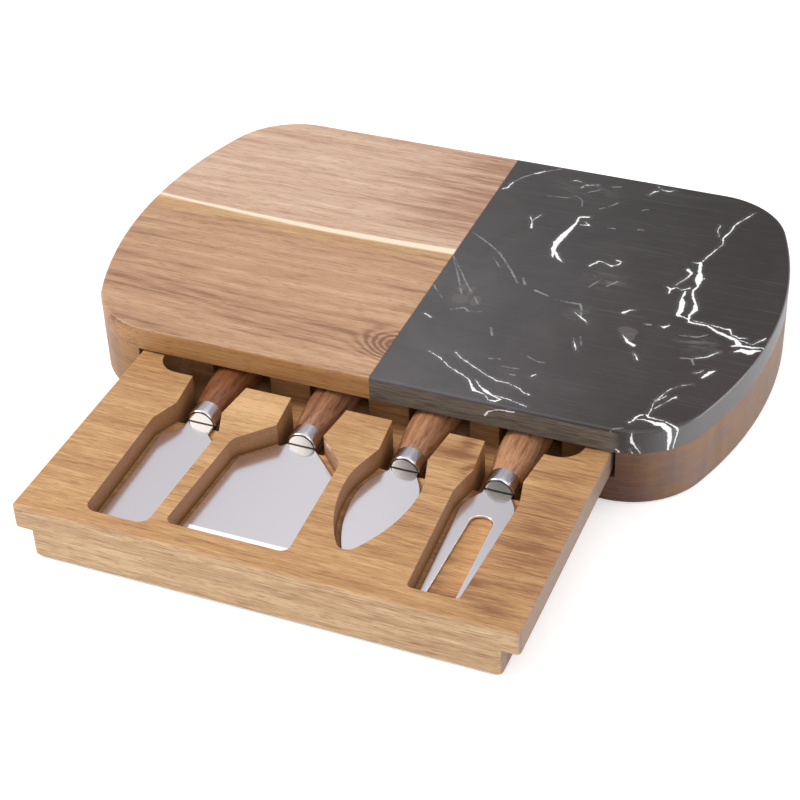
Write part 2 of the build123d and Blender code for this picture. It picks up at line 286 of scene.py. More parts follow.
def acacia(name, light, mid, dark, pith, ring_width, seed, along="X", swirls=(), patches=(),
           shading=(), ring_contrast=0.3, broad_contrast=0.8, ripple=0.75, fibre_contrast=0.9,
           roughness=0.42):
    """Oiled acacia: growth rings about a pith line, wandering with a slow noise, with broad bands,
    fine fibres and short dark pores, all drawn out along the grain. A patch or swirl is given by
    its place, its size and its strength."""

    def grain(lengthwise, across):
        return tuple(lengthwise if axis in along else across for axis in "XYZ")

    def figure(lengthwise, across, detail, rough, shift=(0, 0, 0), out="Fac"):
        return wood.noise(shifted, grain(lengthwise, across), detail, rough, 0.0, shift, out)

    wood = Finish(name, Roughness=roughness, Specular_IOR_Level=0.4)
    x, y, z = wood.place.split()
    shifted = wood.place + (seed * 0.731, seed * 0.377, seed * 0.193)
    slow = figure(5, 16, 2.0, 0.5, out="Color")
    wander = (slow - (0.5, 0.5, 0.5)) * grain(0, 30 * MM)
    from_pith = wood.place + wander - tuple(part * MM for part in pith)
    depth = (from_pith * grain(0, 1)).math("LENGTH", out="Value")
    tone, ring_strength = 0.5, ring_contrast
    for *patch, push in swirls:
        swirl = spot(x, y, *patch)
        depth = swirl * (push * MM) + depth
        tone = swirl * 0.5 + tone
        ring_strength = swirl * 0.7 + ring_strength
    phase = figure(8, 70, 3.0, 0.55) * 1.6 + depth * (1 / (ring_width * MM))
    wave = (phase * (2 * math.pi)).math("SINE")
    tone = wave * 0.5 * ring_strength + tone
    layers = ((3.5, 42, 5.0, broad_contrast), (6, 120, 3.0, 0.6 * broad_contrast),
              (14, 240, 4.0, ripple), (22, 560, 3.0, 0.7))
    for number, (lengthwise, across, detail, amount) in enumerate(layers):
        layer = figure(lengthwise, across, detail, 0.62, (3 * number, number, 2))
        tone = (layer - 0.5) * amount + tone
    fibre = figure(60, 1000, 4.0, 0.7)
    tone = (fibre - 0.5) * fibre_contrast + tone
    for *patch, amount in patches:
        tone = spot(x, y, *patch) * amount + tone
    colour = wood.mix(tone.ramp(0.0, 0.62), light, mid)
    colour = wood.mix(tone.ramp(0.5, 1.05), colour, dark)
    pores = figure(130, 1700, 2.0, 0.5).ramp(0.56, 0.68)
    colour = wood.mix(pores * 0.55, colour, dark)
    if along != "XY":
        end_on = abs(wood.facing()["XYZ".index(along)])
        speckle = wood.noise(wood.place, 900.0, 3.0, 0.6)
        end_colour = wood.mix(speckle.ramp(0.3, 0.75), mid, dark)
        colour = wood.mix(end_on.ramp(0.6, 0.95) * 0.7, colour, end_colour)
    for change in shading:
        colour = change(wood, colour, x, y, z)
    wood.shade(Base_Color=colour, Normal=wood.bump(0.25, 0.05 * MM, pores * -0.5 + fibre))
    return wood.material


def painted_side_light(amount, lit_colour, beyond=-1.0):
    """Painted light on faces that look to the right, where they lie beyond a place along X: their
    colour is drawn towards the hazy, greyish tone that the light from the right gives them."""
    def change(wood, colour, x, y, z):
        # painted light: right-facing faces take the lit colour
        side_light = wood.facing()[0].ramp(0.15, 0.95) * amount * x.math("GREATER_THAN", beyond)
        return wood.mix(side_light, colour, lit_colour)
    return change


def tinted_front(tint, before=1.0):
    """A colour multiplied into faces that look towards the front, where they lie before a place
    along Y."""
    def change(wood, colour, x, y, z):
        tinted = (-wood.facing()[1]).ramp(0.5, 0.95) * y.math("LESS_THAN", before)
        return wood.mix(tinted, colour, tint, "MULTIPLY")
    return change


def mottled_side(wood, colour, x, y, z):
    """Upright streaks of figure across the grain, and patches that lean to gold or to purple."""
    streak = wood.noise(wood.place, (95, 95, 10), 3.0, 0.55)
    shade = wood.mix(streak.ramp(0.3, 0.7), (0.82, 0.8, 0.8), (1.17, 1.19, 1.2))
    patch = wood.noise(wood.place, (38, 38, 60), 2.0, 0.5)
    hue = wood.mix(patch.ramp(0.38, 0.62), (1.1, 1.04, 0.8), (0.93, 0.97, 1.12))
    colour = wood.mix(0.5, colour, shade, "MULTIPLY")
    return wood.mix(0.8, colour, hue, "MULTIPLY")


# Partly painted light and shade: the left block's light tones and the right block's dark ones,
# copies of one acacia, stand for the light falling from the left.
left_block_wood = acacia(
    "left_block_acacia", (0.38, 0.214, 0.098), (0.27, 0.142, 0.061), (0.125, 0.06, 0.025),
    pith=(0, 0, -30), ring_width=9.0, seed=3.1, along="XY", ring_contrast=0.06,
    broad_contrast=0.5, ripple=0.4, fibre_contrast=0.7, shading=(mottled_side,))
right_block_wood = acacia(
    "right_block_acacia", (0.168, 0.085, 0.053), (0.107, 0.046, 0.027), (0.048, 0.019, 0.011),
    pith=(0, 0, -20), ring_width=8.0, seed=7.7, along="XY", ring_contrast=0.06,
    broad_contrast=0.4, ripple=0.4, fibre_contrast=0.7,
    shading=(painted_side_light(0.4, (0.36, 0.245, 0.17)), mottled_side))
rail_wood = acacia(
    "rail_acacia", (0.5, 0.33, 0.22), (0.38, 0.22, 0.13), (0.17, 0.08, 0.045),
    pith=(0, 240, -40), ring_width=6.0, seed=5.2)

base_inset, base_drop = eased_edge(base_edge_radius, 7)
foot_insets = [base_edge_radius + support_width, *base_inset[::-1]]
foot_heights = [0.0, *base_drop[::-1]]
rail_facing = math.acos((bay_half_width - corner_x) / corner_radius)
straight_back = (0.0, 1 / math.sin(rail_facing))
block_facings = np.linspace(-math.pi / 2, rail_facing, 120)
block_levels = [(inset, height, ledge_x) for inset, height in zip(foot_insets, foot_heights)]
block_levels += [(0.0, ledge_height, ledge_x), (0.0, ledge_height, bay_half_width),
                 (0.0, base_height, bay_half_width)]
for side, side_name, block_wood in ((-1, "left", left_block_wood), (1, "right", right_block_wood)):
    rings = []
    for inset, height, inner_x in block_levels:
        first_facing = -rail_facing if inner_x == bay_half_width else -math.pi / 2
        rim_points, rim_normals = rim(np.maximum(block_facings, first_facing))
        rim_normals[-1] = straight_back
        outer = rim_points - rim_normals * inset
        corners = [(bay_half_width, rail_low[1]), (inner_x, rail_low[1]), (inner_x, outer[0, 1])]
        rings.append(at_height(np.concatenate([outer, corners]) * (side, 1), height))
    piece(f"{side_name}_block", stack(rings), block_wood, "board",
          f"{side_name}_side_block")

past_back = math.pi / 2 + 1e-9
rail_points, rail_normals = rim(np.concatenate([
    np.linspace(rail_facing, math.pi / 2, 6), np.linspace(past_back, math.pi - rail_facing, 6)]))
rail_normals[[0, -1]] = straight_back
rail_front = [(-bay_half_width, rail_low[1]), (bay_half_width, rail_low[1])]
rail_rings = [at_height(np.concatenate([rail_front, rail_points - rail_normals * inset]), height)
              for inset, height in zip([*foot_insets, 0.0], [*foot_heights, base_height])]
piece("rail", stack(rail_rings), rail_wood, "board", "rear_rail")

# Wooden half of the top.
# Two acacia staves are glued edge to edge, with a strip of pale sapwood along the joint, then
# sawn to the board's bowed outline and rounded over along the rim.
top_height = slab_high[2]
seam_x = slab_low[0]
joint_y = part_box("top_rear_stave")[0][1]
top_edge_radius = 1.6 * MM
seam_arris = 0.35 * MM
top_inset, top_drop = eased_edge(top_edge_radius, 8)
panel_inset = [0.0, *top_inset, top_edge_radius + support_width]
panel_height = np.array([base_height, *(top_height - top_drop), top_height])
panel_arris = np.clip(seam_arris - (top_height - panel_height), 0.0, None)
joint_facing = math.pi + math.asin((mid_y - joint_y) / end_arc_radius)
front_corner = (seam_x, slab_low[1], 0.0, -1.0)
rear_corner = (seam_x, slab_high[1], 0.0, 1.0)


def top_piece(name, before, facings, after, inner, seam_side, finish, node):
    """A panel whose outer rim is rounded over and whose glued sides stay upright, but for a fine
    arris where it meets the seam. Before and after the rim come corners, each a point and its
    outward direction. seam_side is the direction from the seam into the panel."""
    outline = np.column_stack(rim(facings))
    outline[facings == joint_facing, 1:] = (joint_y, -1.0, 0.0)
    outline = np.vstack([*before, outline, *after])
    rings = []
    for inset, height, arris in zip(panel_inset, panel_height, panel_arris):
        level = np.concatenate([outline[:, :2] - outline[:, 2:] * inset, inner])
        on_seam = np.abs(level[:, 0] - seam_x) < 0.01 * MM
        level[on_seam, 0] += seam_side * arris
        rings.append(at_height(level, height))
    piece(name, stack(rings), finish, "board", node)


def sapwood_stripe(wood, colour, x, y, z):
    """Pale sapwood in front of the joint: its inner border follows the joint, and the stripe
    narrows to the left as the board was cut. The wood in front of it is golden."""
    from_bow = x + 70 * MM
    waver = wood.noise(wood.place, (14, 30, 30), 3.0, 0.5)
    line = from_bow * from_bow * 0.35 + (joint_y - MM) + (waver - 0.5) * (2 * MM)
    in_front = line - y
    half_width = x * 0.01 + 2.6 * MM
    soft = in_front.math("GREATER_THAN", 0.0) * MM + 0.8 * MM
    inside = 1.0 - (abs(in_front) - half_width).ramp(-0.7 * MM, soft)
    golden = in_front.ramp(0.0, 2 * MM) * in_front.ramp(18 * MM, 6 * MM)
    colour = wood.mix(golden, colour, (1.05, 1.06, 0.88), "MULTIPLY")
    return wood.mix(inside * 0.92, colour, (0.8, 0.66, 0.5))


front_stave_wood = acacia(
    "front_stave_acacia", (0.51, 0.325, 0.195), (0.4, 0.228, 0.128), (0.19, 0.092, 0.052),
    pith=(0, -150, -90), ring_width=7.0, seed=1.3, ring_contrast=0.2,
    shading=(sapwood_stripe, tinted_front((0.87, 0.74, 0.49))),
    swirls=((7, -19, 18, 13, 40),),
    patches=((-160, -10, 34, 7, 0.13), (-150, 8, 26, 4, 0.08), (-110, -14, 50, 5, 0.12),
             (-85, -24, 50, 4, 0.1), (-40, -16, 40, 5, 0.12), (-175, 10, 14, 24, 0.06),
             (-110, 30, 60, 12, -0.12), (-30, 20, 40, 12, -0.18), (-60, -44, 90, 5, -0.08),
             (-150, -42, 50, 6, 0.3)),
)
rear_stave_wood = acacia(
    "rear_stave_acacia", (0.64, 0.465, 0.345), (0.51, 0.335, 0.235), (0.29, 0.145, 0.085),
    pith=(0, 300, -120), ring_width=8.0, seed=4.9, shading=(sapwood_stripe,), ring_contrast=0.16,
    patches=((0, 158, 60, 26, 0.4), (-6, 176, 30, 6, 0.3), (-2, 110, 50, 26, 0.3),
             (-158, 110, 36, 60, 0.08)),
)

top_piece("front_stave", (), np.linspace(joint_facing, 1.5 * math.pi, 100), (front_corner,),
          [(seam_x, joint_y)], -1, front_stave_wood, "top_front_stave")
top_piece("rear_stave", (rear_corner,), np.linspace(past_back, joint_facing, 100), (),
          [(seam_x, joint_y)], -1, rear_stave_wood, "top_rear_stave")

# Marble half of the top.
# A slab of near-black marble, sawn to the same outline, polished and glued beside the wood.
# White veins cross it, bold crushed ones and hairlines, and its straight front is only honed.

# A vein is a run of spots: millimetres right and back, and half width in hundredths of one. Spots
# beyond the rim lie on the sides, as if these were folded down from the top's plane.
bold_veins = (
    (62.1, 138.5, 50, 56.9, 136.7, 60, 56.9, 129.9, 70, 55.7, 122.7, 120, 54.2, 114, 170,
     52.7, 106.8, 170, 53.3, 100.4, 140, 55.3, 91.3, 40),
    (54.1, 98.1, 80, 58.9, 91.2, 90, 62.7, 88, 20),
    (60.1, 128.9, 30, 64.9, 129.8, 45, 61.7, 132.9, 30),
    (29.6, 127.9, 20, 31.9, 124, 35, 34.1, 117.1, 60), (31.9, 124, 30, 34.9, 131.9, 20),
    (77.7, 89.3, 50, 81.3, 95.8, 35, 84.7, 95.7, 20, 89.6, 93.3, 40, 93, 96, 30, 93.7, 99.4, 25,
     90.8, 99.7, 50), (3.8, 152.2, 20, 6.3, 154.6, 50, 7.2, 161.5, 30),
    (16.2, 174.8, 30, 21.3, 179.6, 45), (40.3, 174.3, 10, 42.8, 175.9, 35, 46.1, 174.8, 10),
    (48, 168.9, 30, 49.2, 172.2, 40, 56.5, 174.8, 5),
    (87.6, 173.9, 10, 90.6, 178.6, 40, 92.4, 179.6, 10),
    (90.2, 184.9, 20, 94.5, 181.4, 25, 98.4, 181.6, 45, 102, 184.3, 10),
    (151.4, 174.6, 5, 148.8, 168.7, 20, 143.7, 157.3, 30, 143.4, 150.7, 35, 141.2, 141.2, 40,
     142.2, 135.2, 20, 140.1, 128.3, 25, 137.9, 121.4, 35, 136.4, 114.7, 40),
    (135.8, 154.5, 20, 136.2, 148.2, 15, 138.8, 142.8, 10),
    (132.3, 111.7, 30, 135.7, 112.9, 90, 137.7, 103.7, 90, 139, 96.7, 220, 140.5, 89, 50,
     139, 84.1, 60, 140.8, 78.2, 70, 143.2, 73.2, 70, 144.9, 66.7, 150, 143.5, 60.5, 40,
     144.6, 55.3, 40), (139, 96.7, 80, 141.7, 98, 20),
    (130.9, 103.7, 110, 133.4, 101.4, 70, 132.9, 96.1, 35, 130.1, 90.6, 20, 127.5, 85.2, 10),
    (124.5, 83.4, 40, 127, 82.1, 60, 129.4, 84.4, 15, 133, 82.8, 30, 136.5, 86.2, 60),
    (126.8, 82.1, 40, 127.2, 77.8, 30),
    (135.2, 82.1, 50, 134.9, 76.2, 50, 136.3, 72.3, 160, 137.4, 66.9, 150, 137.6, 59.1, 120,
     140.6, 58.1, 40, 144, 57.2, 40),
    (144.7, 54.6, 50, 154.8, 54.6, 60, 161.3, 50.7, 80, 166.3, 49, 100, 172.2, 46.9, 110,
     174.8, 43.8, 160),
    (146.5, 56.6, 15, 155.2, 56.2, 20, 163.2, 54.8, 35, 167.1, 54.8, 70, 169.3, 50.8, 30,
     173.9, 49, 50, 177.9, 50.1, 10), (174.4, 47, 30, 181.6, 45.5, 20, 186.9, 53.3, 35),
    (171.9, 40.7, 30, 175.5, 42.7, 80, 181.5, 42.8, 70, 188, 44.4, 30),
    (174.2, 36.2, 40, 177.3, 38.6, 140, 181.3, 37.9, 200, 183.7, 40.2, 120, 186.8, 41.3, 40),
    (164.6, 8.3, 30, 165.8, 10.9, 100, 167.3, 14.2, 110, 168.9, 16.1, 30),
    (159.5, 10.7, 15, 162.2, 12.4, 20, 163.7, 14.7, 10),
    (147.3, -18.5, 12, 150.4, -8.9, 15, 155.6, -2.4, 12, 161.7, 1.2, 10),
    (131.6, 45.7, 20, 133.3, 45.2, 80, 135.3, 47.7, 30),
    (155.7, 22.9, 15, 162.3, 26.5, 25, 163.9, 29.1, 40, 167.2, 33.7, 5),
    (7.9, 15.1, 40, 12.1, 13.2, 30), (83.9, 43.6, 10, 88.5, 40, 35, 93.7, 35.9, 30),
    (91.3, 19.7, 10, 93.2, 15.3, 25, 95.7, 9.7, 10),
    (109.3, 51.3, 70, 111.5, 55, 40, 114.6, 56.1, 5),
    (114.9, 31.4, 30, 119.1, 26.2, 80, 122.9, 24.2, 90), (125.1, 17.6, 10, 128.7, 12.3, 25),
    (22.6, -16.9, 10, 30.7, -20.7, 35, 38.2, -26.4, 12, 46.1, -30.6, 30, 51.3, -33.4, 40,
     57, -41.1, 80, 62.9, -42.5, 30, 66.8, -46.7, 30, 70.5, -46.5, 50, 72.4, -44.2, 40),
    (55.1, -32.6, 15, 58.8, -37, 30, 63.3, -40, 90, 66.9, -42.2, 50, 72.4, -44.2, 30),
    (67.5, -41.9, 20, 75.8, -42.4, 15, 86.9, -45.1, 20),
    (36.7, -13.2, 40, 41, -17.1, 15, 47.1, -20.3, 30, 57.6, -26, 25, 64.9, -29.1, 40,
     71.3, -29.7, 15, 79, -32.2, 25, 81.3, -34.8, 15, 84.9, -35.4, 20),
    (80.8, -20, 35, 82.6, -17.7, 10),
    (139.9, -40.5, 40, 141.2, -38.9, 45, 141.6, -36.4, 40, 143.2, -33.3, 60, 144.6, -32.2, 40),
    (142.7, -36.6, 30, 146, -35.7, 35, 149.7, -36.2, 50, 152.5, -37.2, 130, 155.9, -36.6, 170,
     160.2, -39.3, 160),
    (146.3, -31.6, 50, 147.7, -32.9, 50, 151.5, -33.5, 35, 156.1, -33.5, 25, 160.1, -35.1, 40,
     163.3, -36.3, 50),
    (147.1, -32, 30, 147.3, -27.7, 20, 147.3, -24, 15, 146.8, -21.1, 10, 148.6, -17.4, 15,
     151, -12.9, 10), (148.7, -25.3, 10, 152, -19.2, 12, 154.1, -15.2, 10, 156.2, -12.3, 35),
    (160.4, -39, 150, 163.9, -42, 130, 166.6, -45.4, 100, 169.9, -50.5, 70),
    (163.5, -36.1, 45, 166.2, -37, 40, 168.8, -41.9, 35, 172.3, -48.2, 35),
    (143.5, -48.7, 20, 145.2, -53.9, 90, 148.2, -56.1, 40, 153.9, -59.2, 30),
    (145.9, -58.4, 20, 148, -60.4, 35), (137.6, -60.8, 30, 139.7, -62, 45),
    (66.1, -57.3, 60, 67.7, -54.5, 40, 71.6, -52.7, 25, 74.8, -52.2, 25, 78.3, -52.2, 60,
     81.7, -51.7, 30),
)
hair_veins = (
    (143.8, 41.1, 20, 151.9, 42.6, 40, 157.1, 46.1, 20), (149.3, 21.3, 30, 155, 22.6, 30),
    (155.1, 22.7, 30, 157.2, 17.5, 30),
    (3.9, 101.5, 10, 16.4, 93.3, 30, 26.8, 84.5, 20, 32.2, 77.9, 35, 38.7, 69.9, 30,
     45.1, 60.2, 50), (46.8, 65.3, 50, 49.7, 60, 50), (24.3, 79.9, 10, 33.9, 67.3, 20),
    (2.1, 74, 15, 20.1, 39.8, 30), (3.1, 73.3, 15, 19.8, 48.7, 30, 32.1, 33.3, 30),
    (19.7, 23.6, 50, 26.2, 27.7, 20, 29.1, 25.2, 40, 36.4, 26.9, 20), (2.3, 42.6, 30, 11.1, 33, 10),
    (46.3, 14, 40, 49.1, 8.2, 40),
    (57, 56.2, 50, 68.3, 52.2, 15, 77.6, 51, 35, 84.7, 51.8, 40, 87.6, 45.8, 30, 88.5, 40, 40),
    (94.4, 22.5, 20, 96.8, 15, 20), (93.2, 73.4, 40, 97.3, 79.4, 30),
    (83.6, 69.1, 30, 89.7, 81.3, 20), (122.1, 45, 50, 125.9, 45.4, 60),
    (7.2, 161.5, 10, 11.3, 169.4, 30, 16.2, 174.8, 20, 26.1, 183.3, 30, 29.8, 186.1, 20),
    (31.7, 153.3, 10, 42.9, 155, 20, 47.7, 158.5, 40, 52.1, 156.1, 20, 54.6, 148.4, 10),
    (53.1, 164.6, 20, 58.8, 169.8, 30), (65.1, 175.5, 20, 69.8, 177.1, 30),
    (65.2, 149.4, 40, 68.6, 152.5, 10, 73.2, 158.8, 30), (89.3, 155.6, 20, 92.2, 158, 30),
    (75.9, 131, 30, 80, 131.8, 30), (92.6, 134.8, 40, 95.9, 135.5, 20),
    (54.8, -12.5, 20, 60.6, -11.3, 30), (73.3, -3.8, 10, 79, -6.3, 20, 83.2, -6.3, 50),
    (63.9, -16.6, 20, 72.7, -15.9, 10), (70, -22.1, 20, 72.8, -22.2, 20),
    (133.7, -48.4, 30, 138.7, -46, 20), (58.4, -61.9, 40, 66.1, -58, 40),
    (133, -50.4, 30, 133.9, -59.5, 30),
)
grey_clouds = ((87.4, 42.6, 7, 6), (90.3, 78.7, 10, 7), (155.8, 36.1, 14, 6), (53.4, 167.8, 16, 6))
grey_inclusions = ((20.9, 34.6, 5, 4.5), (18.2, 45.1, 2, 5), (29.6, 35.6, 3, 5),
                   (23.9, 43.9, 1.6, 5), (116.4, 35.8, 6, 4), (119, 30.9, 3, 4))


def vein_group():
    """Distance from a point to one stretch of a vein, less the vein's half width there, which
    runs evenly from its start to its end."""
    group = bpy.data.node_groups.new("vein_stretch", "ShaderNodeTree")
    inputs = {"Point": "Vector", "Start": "Vector", "Run": "Vector", "Slope": "Vector",
              "Width": "Float", "Growth": "Float"}
    for name, kind in inputs.items():
        group.interface.new_socket(name, in_out="INPUT", socket_type="NodeSocket" + kind)
    group.interface.new_socket("Distance", in_out="OUTPUT", socket_type="NodeSocketFloat")
    graph = Graph(group)
    given = group.nodes.new("NodeGroupInput").outputs
    point, start, run, slope, width, growth = [Value(graph, given[name]) for name in inputs]
    away = point - start
    along = away.math("DOT_PRODUCT", slope, out="Value").math("MAXIMUM", 0.0).math("MINIMUM", 1.0)
    reach = graph.add("VectorMath", {0: run, "Scale": along}, operation="SCALE")
    gap = away.math("DISTANCE", reach, out="Value") - along.math("MULTIPLY_ADD", growth, width)
    graph.set(group.nodes.new("NodeGroupOutput"), {0: gap})
    return group


marble = Finish("black_marble", Specular_IOR_Level=0.5)
stretch = vein_group()
ragged = marble.noise(marble.place, 420.0, 3.0, 0.6, out="Color") - (0.5, 0.5, 0.5)
wavering = marble.noise(marble.place, 90.0, 2.0, 0.5, out="Color") - (0.5, 0.5, 0.5)
bent_place = marble.place + ragged * ((1.3 * MM,) * 3) + wavering * ((1.4 * MM,) * 3)
vein_x, vein_y, vein_z = bent_place.split()
vein_depth = top_height - vein_z
facing_x, facing_y = marble.facing()[:2]
vein_place = marble.add("CombineXYZ", {
    0: vein_depth * facing_x + vein_x, 1: vein_depth * facing_y + vein_y})


def nearest(veins):
    """Least distance to any stretch of the veins."""
    least = None
    for vein in veins:
        spots = np.reshape(vein, (-1, 3)) * (MM, MM, 0.01 * MM)
        for (*start, width), (*run, growth) in zip(spots, np.diff(spots, axis=0)):
            slope = np.array(run) / np.dot(run, run)
            gap = marble.add("Group", {
                "Point": vein_place, "Start": (*start, 0.0), "Run": (*run, 0.0),
                "Slope": (*slope, 0.0), "Width": width, "Growth": growth,
            }, node_tree=stretch)
            least = gap if least is None else least.math("MINIMUM", gap)
    return least


crush = marble.noise(marble.place, 850.0, 4.0, 0.75)
swell = marble.noise(marble.place, 170.0, 2.0, 0.5)
bold_gap = nearest(bold_veins) + (crush - 0.5) * (1.5 * MM) + (swell - 0.5) * (0.9 * MM)
bold = 1.0 - bold_gap.ramp(-0.25 * MM, 0.15 * MM)
halo = 1.0 - bold_gap.ramp(0.0, 2.6 * MM)
ridge = abs(marble.noise(marble.place, 300.0, 3.0, 0.6, 0.8) - 0.5)
splinter = 1.0 - ridge.ramp(0.0, 0.014)
hair = 1.0 - nearest(hair_veins).ramp(-0.3 * MM, 0.6 * MM)
break_up = marble.noise(marble.place, 160.0, 3.0, 0.6).ramp(0.3, 0.62)
place_x, place_y = marble.place.split()[:2]
cloudy = marble.noise(marble.place, 26.0, 5.0, 0.62, 0.6).ramp(0.35, 0.7)
stone = marble.mix(cloudy, (0.056, 0.0505, 0.0515), (0.072, 0.0655, 0.0665))
for amount, tint in (
        (place_x.ramp(20 * MM, 170 * MM), (0.46, 0.39, 0.36)),
        (place_y.ramp(40 * MM, 160 * MM), (0.6, 0.57, 0.56)),
        (place_y.ramp(25 * MM, -25 * MM), (1.16, 1.16, 1.17))):
    stone = marble.mix(amount, stone, tint, "MULTIPLY")
wisps = marble.noise(marble.place, (60, 160, 60), 4.0, 0.7, 1.0).ramp(0.42, 0.7)
for patch in grey_clouds:
    cloud = spot(place_x, place_y, *patch)
    stone = marble.mix(cloud * wisps * 0.8, stone, (0.13, 0.12, 0.115))
for patch in grey_inclusions:
    inclusion = spot(vein_x, vein_y, *patch).ramp(0.3, 0.5)
    stone = marble.mix(inclusion * 0.6, stone, (0.11, 0.097, 0.092))
scratch = marble.noise(marble.place, (14, 900, 40), 4.0, 0.75).ramp(0.52, 0.78)
# painted reflection: the right-facing sides of the slab are made a paler blue-grey
painted_side_sheen = facing_x.ramp(0.3, 0.85)
for amount, shade in (
        (scratch * 0.3, (0.13, 0.125, 0.125)), (halo * 0.04, (0.4, 0.4, 0.4)),
        (splinter * halo * 0.22, (0.7, 0.7, 0.7)), (hair * break_up * 0.42, (0.5, 0.5, 0.5)),
        (painted_side_sheen * 0.75, (0.145, 0.142, 0.146))):
    stone = marble.mix(amount, stone, shade)
honed = (-facing_y).ramp(0.985, 0.998)
saw_mark = marble.noise(marble.place, (90, 90, 1500), 3.0, 0.6).ramp(0.3, 0.72)
stone = marble.mix(honed, stone, marble.mix(saw_mark, (0.068, 0.052, 0.039), (0.158, 0.131, 0.103)))
stone = marble.mix(bold, stone, (0.84, 0.84, 0.84))
marble.shade(Base_Color=stone, Roughness=honed * 0.4 + 0.2)

top_piece("marble_top", (front_corner,), np.linspace(-math.pi / 2, math.pi / 2, 160),
          (rear_corner,), np.zeros((0, 2)), 1, marble.material, "marble_slab")

# Drawer.
# One thick acacia board on flanges, with pockets routed to the blades, deeper channels for the
# handles and a finger trough across them. The routed walls are darker, partly from oil they drank
# and partly from painted shade.


def routed_walls(wood, colour, x, y, z):
    """Darker, redder wood on upright faces inside the drawer, well away from its outer sides, and
    on the trough's floor: partly oil that stayed there, partly painted shade, strongest in the
    pockets and at the trough's ends. Tight corners get painted shade, and pocket floors are made
    paler as painted light."""
    upright = 1.0 - abs(wood.facing()[2])
    edge_x = (x - drawer_low[0]).math("MINIMUM", drawer_high[0] - x)
    edge_y = (y - drawer_low[1]).math("MINIMUM", drawer_high[1] - y)
    inside = edge_x.math("MINIMUM", edge_y).ramp(4 * MM, 9.5 * MM)
    wall = upright.ramp(0.5, 0.9) * inside
    # painted shade in tight corners, from ambient occlusion
    open_air = wood.add("AmbientOcclusion", {"Distance": 6 * MM}, out="AO", samples=8)
    corner = 1.0 - open_air.ramp(0.2, 0.75)
    trough_floor = z.ramp(16 * MM, 12 * MM) * inside
    # painted shade is strongest at the trough's self-shadowed ends and in the pockets in front of
    # it
    shaded_ends = abs(x).ramp(88 * MM, 98 * MM)
    shaded_places = y.ramp(-62 * MM, -67 * MM).math("MAXIMUM", shaded_ends)
    wall_stain_and_shade = wall * (shaded_places * 0.5 + 0.12)
    stain_and_shade = wall_stain_and_shade.math("MAXIMUM", trough_floor * (shaded_ends * 0.55 + 0.1))
    # painted light: low floors in the pockets and the trough are made paler
    floor_light = z.ramp(26 * MM, 24 * MM) * upright.ramp(0.1, 0.05)
    colour = wood.mix(floor_light * inside, colour, (1.35, 1.3, 1.24), "MULTIPLY")
    # stain and painted shade on the walls and the trough's floor, then painted shade in the corners
    colour = wood.mix(stain_and_shade, colour, (0.19, 0.078, 0.032))
    return wood.mix(corner * (shaded_places * 0.4 + 0.35) * inside, colour, (0.075, 0.03, 0.014))


# painted light: the drawer's right side and its front are made paler and greyer, as light from the
# right and the front shows them
drawer_wood = acacia(
    "drawer_acacia", (0.6, 0.375, 0.178), (0.41, 0.222, 0.093), (0.21, 0.083, 0.033),
    pith=(0, -60, -70), ring_width=6.5, seed=2.2, ring_contrast=0.12, broad_contrast=0.62,
    ripple=0.3, fibre_contrast=1.3,
    shading=(painted_side_light(0.8, (0.26, 0.19, 0.155), 124 * MM),
             tinted_front((1.2, 1.42, 1.8), -187 * MM), routed_walls),
    swirls=((78, -86, 9, 7, 8),),
    patches=((93, -166, 13, 8, 0.5), (116, -177, 12, 6, 0.35), (58, -76, 16, 6, 0.4),
             (63, -66, 5, 7, 0.5), (120, -115, 20, 55, 0.3), (62, -125, 16, 30, 0.12),
             (-52, -72, 26, 14, -0.45), (20, -178, 60, 6, 0.1)),
)
drawer_board = piece("drawer_board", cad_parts["drawer"].data, drawer_wood, "drawer",
                     "drawer")
arris = drawer_board.modifiers.new("arris", "BEVEL")
arris.width = 0.45 * MM
arris.segments = 2
arris.limit_method = "ANGLE"
arris.angle_limit = math.radians(50)
arris.use_clamp_overlap = arris.harden_normals = True

# Knife blades.
# Each is stamped from flat stainless sheet and polished bright, with a neck that fills the slot
# of its ferrule and a narrow tang behind it. The plane's front is ground to a chisel edge.
blade_steel = Finish("blade_steel", Metallic=1.0, Roughness=0.17, Base_Color=(0.94, 0.905, 0.95))
brushed = blade_steel.noise(blade_steel.place, (2600, 60, 60), 3.0, 0.6)
blade_steel.shade(Normal=blade_steel.bump(0.03, 0.01 * MM, brushed))

# Knives are drawn in millimetres from the middle of the ferrule's front.
neck_half_width = 7.65
nose_place = -1.35
tang_half_width = 3.0
tang_length = 48.5
blade_thickness = 1.4
blade_edge_radius = 0.22
edge_flat = 0.3
mitre_limit = 0.4
by_bevel_start = 0.4
plane_bevel_start = 75.4
plane_length = 85.8


def arc(centre, radius, start, end, steps):
    """Points on a circle from one angle to another, in degrees."""
    angle = np.radians(np.linspace(start, end, steps))
    return np.column_stack([centre[0] + radius * np.cos(angle), centre[1] + radius * np.sin(angle)])


